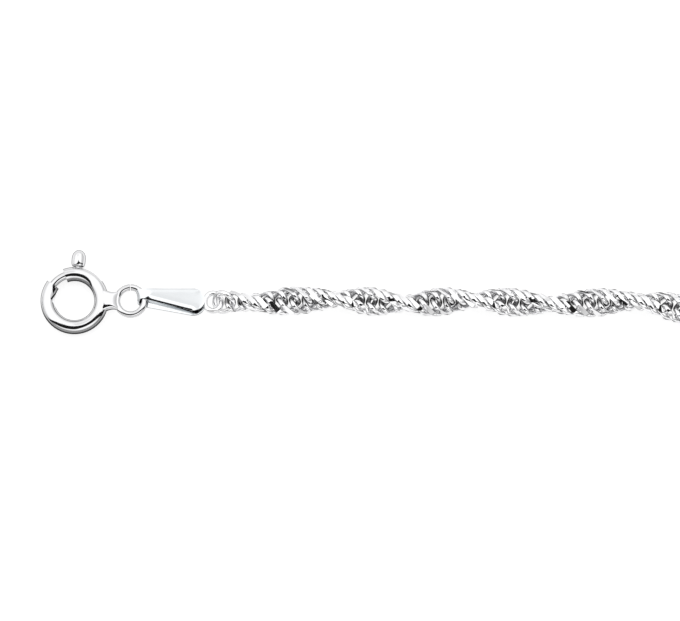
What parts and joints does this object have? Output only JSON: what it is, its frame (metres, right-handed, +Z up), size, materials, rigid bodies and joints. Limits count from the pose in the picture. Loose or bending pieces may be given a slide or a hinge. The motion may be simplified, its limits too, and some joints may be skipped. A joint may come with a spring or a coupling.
{
  "type": "singapore chain necklace",
  "caption": "Slim twisted chain in a whole necklace loop, with a spring ring clasp on a small soldered loop, two folded teardrop tags and a closed end ring.",
  "frame": {"origin": "on the surface that the necklace lies on, under the middle of its overall length and width", "axes": "+Z up from the surface, +Y from the front of the loop towards the clasp, +X along the straight back from the clasp into the chain"},
  "size_m": [0.1394, 0.1416, 0.0025],
  "materials": {
    "ring_silver": "polished silver",
    "bolt_silver": "polished, a little darker",
    "tag_silver": "rolled strip, polished",
    "chain_silver": "polished and diamond cut"
  },
  "bodies": {
    "necklace": {"clasp_case": "ring_silver", "clasp_tag": "tag_silver", "chain": "chain_silver", "end_tag": "tag_silver", "end_ring": "ring_silver"},
    "bolt": {"clasp_bolt": "bolt_silver"}
  },
  "joints": [
    {"name": "bolt_opens", "type": "hinge", "parent": "necklace", "child": "bolt", "pos_m": [-0.013, 0.06631, 0.00063], "axis": [0, 0, -1], "range_deg": [0, 42], "stiffness_Nm_per_rad": 0.004, "springref_deg": -14.32}
  ]
}
